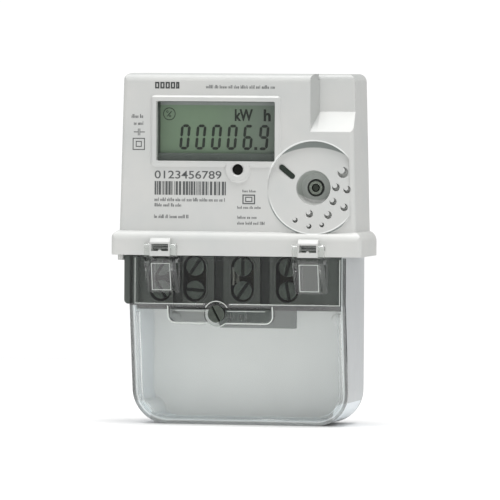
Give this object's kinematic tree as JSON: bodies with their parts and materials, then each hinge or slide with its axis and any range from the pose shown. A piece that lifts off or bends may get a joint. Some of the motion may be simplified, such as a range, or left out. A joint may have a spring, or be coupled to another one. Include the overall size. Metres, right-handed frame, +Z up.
{
  "type": "prepaid electricity meter",
  "caption": "Wall-mounted single-phase prepaid electricity meter with a digital display, a touch-key dish, a scroll button and a hinged clear terminal cover.",
  "frame": {"origin": "on the flat back face that lies against the wall, on the vertical centre line and half way up the meter", "axes": "+Z up, +X to the right of a person facing the meter, +Y into the wall; the face looks along -Y"},
  "size_m": [0.128, 0.0558, 0.176],
  "materials": {
    "housing_plastic": "fine satin moulded light grey-white",
    "base_plastic": "fine satin moulded light grey-white",
    "gasket_rubber": "soft matt seal",
    "zinc_steel": "bright zinc plate",
    "plated_steel": "dull nickel plate",
    "spring_steel": "drawn wire",
    "window_clear": "clear, glossy",
    "clear_polycarbonate": "clear, glossy, faintly tinted at its edges",
    "lcd_glass": "reflective twisted-nematic display glass",
    "dark_plastic": "moulded matt",
    "light_diffuser": "milky light guide",
    "tinned_metal": "tinned",
    "circuit_board": "solder mask over glass epoxy",
    "chip_black": "moulded epoxy",
    "button_black": "satin",
    "smoked_lens": "smoked light pipe",
    "led_red": "tinted lens",
    "block_plastic": "glass-filled moulded dark grey",
    "copper": "bright copper strip",
    "shunt_alloy": "manganin strip",
    "brass_plated": "dull plated brass",
    "core_wrap": "tape-wound ring core",
    "relay_plastic": "moulded",
    "coil_copper": "enamelled wire on a bobbin",
    "soft_iron": "soft iron",
    "capacitor_box": "film capacitor case",
    "capacitor_sleeve": "shrink sleeve",
    "varistor_coat": "dipped epoxy",
    "battery_sleeve": "shrink sleeve"
  },
  "bodies": {
    "root": {"rear_base": "base_plastic", "wall_hanger": "zinc_steel", "main_cover": "housing_plastic", "case_gasket": "gasket_rubber", "case_screws": "zinc_steel", "display_window": "window_clear", "lcd_glass": "lcd_glass", "lcd_frame": "dark_plastic", "lcd_backlight": "light_diffuser", "lcd_pins": "tinned_metal", "main_board": "circuit_board", "board_screws": "zinc_steel", "processor_chips": "chip_black", "button_switch": "dark_plastic", "led_light_pipe": "smoked_lens", "pulse_led": "led_red", "key_contact_ring": "tinned_metal", "key_contact_holder": "dark_plastic", "key_contact_spring": "spring_steel", "sounder": "chip_black", "terminal_block": "block_plastic", "terminal_clamp_1": "brass_plated", "terminal_clamp_2": "brass_plated", "terminal_clamp_3": "brass_plated", "terminal_clamp_4": "brass_plated", "voltage_link": "tinned_metal", "phase_bar_in": "copper", "phase_bar_out": "copper", "current_shunt": "shunt_alloy", "neutral_bar": "copper", "neutral_transformer": "core_wrap", "relay_case": "relay_plastic", "relay_coil": "coil_copper", "relay_fixed_contact": "copper", "relay_link": "copper", "supply_capacitor": "capacitor_box", "smoothing_capacitor": "capacitor_sleeve", "surge_varistor": "varistor_coat", "backup_battery": "battery_sleeve", "seal_screw_insert": "brass_plated"},
    "terminal_cover": {"terminal_cover": "clear_polycarbonate"},
    "seal_clip": {"seal_screw_clip": "spring_steel"},
    "seal_screw": {"seal_screw": "plated_steel"},
    "scroll_button": {"scroll_button": "button_black"},
    "key_contact_pin": {"key_contact_pin": "tinned_metal"},
    "relay_armature": {"relay_armature": "soft_iron"},
    "relay_contact_arm": {"relay_contact_arm": "copper"},
    "clamp_screw_1_upper": {"clamp_screw_1_upper": "plated_steel"},
    "clamp_screw_1_lower": {"clamp_screw_1_lower": "plated_steel"},
    "clamp_screw_2_upper": {"clamp_screw_2_upper": "plated_steel"},
    "clamp_screw_2_lower": {"clamp_screw_2_lower": "plated_steel"},
    "clamp_screw_3_upper": {"clamp_screw_3_upper": "plated_steel"},
    "clamp_screw_3_lower": {"clamp_screw_3_lower": "plated_steel"},
    "clamp_screw_4_upper": {"clamp_screw_4_upper": "plated_steel"},
    "clamp_screw_4_lower": {"clamp_screw_4_lower": "plated_steel"}
  },
  "joints": [
    {"name": "terminal_cover_swing", "type": "hinge", "parent": "root", "child": "terminal_cover", "pos_m": [0, -0.0536, 0.0012], "axis": [-1, 0, 0], "range_deg": [0, 95]},
    {"name": "seal_screw_travel", "type": "slide", "parent": "terminal_cover", "child": "seal_clip", "axis": [0, 1, 0], "range_m": [0, 0.0028]},
    {"name": "seal_screw_turn", "type": "hinge", "parent": "seal_clip", "child": "seal_screw", "pos_m": [-0.0106, -0.046, -0.0322], "axis": [0, 1, 0], "range_deg": [0, 1440]},
    {"name": "scroll_button_press", "type": "slide", "parent": "root", "child": "scroll_button", "axis": [0, 1, 0], "range_m": [0, 0.0006], "stiffness_N_per_m": 600},
    {"name": "key_contact_press", "type": "slide", "parent": "root", "child": "key_contact_pin", "axis": [0, 1, 0], "range_m": [0, 0.0012], "stiffness_N_per_m": 400, "deforming": ["key_contact_spring"]},
    {"name": "relay_armature_tilt", "type": "hinge", "parent": "root", "child": "relay_armature", "pos_m": [-0.0287, -0.012, 0.029], "axis": [0, -1, 0], "range_deg": [0, 5.5]},
    {"name": "relay_contact_open", "type": "hinge", "parent": "root", "child": "relay_contact_arm", "pos_m": [-0.0199, -0.0189, 0.0258], "axis": [0, 1, 0], "range_deg": [0, 4]},
    {"name": "clamp_screw_1_upper_turn", "type": "hinge", "parent": "root", "child": "clamp_screw_1_upper", "pos_m": [-0.0405, -0.036, -0.0088], "axis": [0, 1, 0], "range_deg": [-1080, 0]},
    {"name": "clamp_screw_1_lower_turn", "type": "hinge", "parent": "root", "child": "clamp_screw_1_lower", "pos_m": [-0.0405, -0.036, -0.0205], "axis": [0, 1, 0], "range_deg": [-1080, 0]},
    {"name": "clamp_screw_2_upper_turn", "type": "hinge", "parent": "root", "child": "clamp_screw_2_upper", "pos_m": [-0.023, -0.036, -0.0088], "axis": [0, 1, 0], "range_deg": [-1080, 0]},
    {"name": "clamp_screw_2_lower_turn", "type": "hinge", "parent": "root", "child": "clamp_screw_2_lower", "pos_m": [-0.023, -0.036, -0.0205], "axis": [0, 1, 0], "range_deg": [-1080, 0]},
    {"name": "clamp_screw_3_upper_turn", "type": "hinge", "parent": "root", "child": "clamp_screw_3_upper", "pos_m": [0.0015, -0.036, -0.0088], "axis": [0, 1, 0], "range_deg": [-1080, 0]},
    {"name": "clamp_screw_3_lower_turn", "type": "hinge", "parent": "root", "child": "clamp_screw_3_lower", "pos_m": [0.0015, -0.036, -0.0205], "axis": [0, 1, 0], "range_deg": [-1080, 0]},
    {"name": "clamp_screw_4_upper_turn", "type": "hinge", "parent": "root", "child": "clamp_screw_4_upper", "pos_m": [0.0245, -0.036, -0.0088], "axis": [0, 1, 0], "range_deg": [-1080, 0]},
    {"name": "clamp_screw_4_lower_turn", "type": "hinge", "parent": "root", "child": "clamp_screw_4_lower", "pos_m": [0.0245, -0.036, -0.0205], "axis": [0, 1, 0], "range_deg": [-1080, 0]}
  ],
  "couplings": [
    {"joint": "seal_screw_turn", "follows": "seal_screw_travel", "rad_per_m": 8975.9},
    {"joint": "relay_contact_open", "follows": "relay_armature_tilt", "ratio": 0.7}
  ]
}
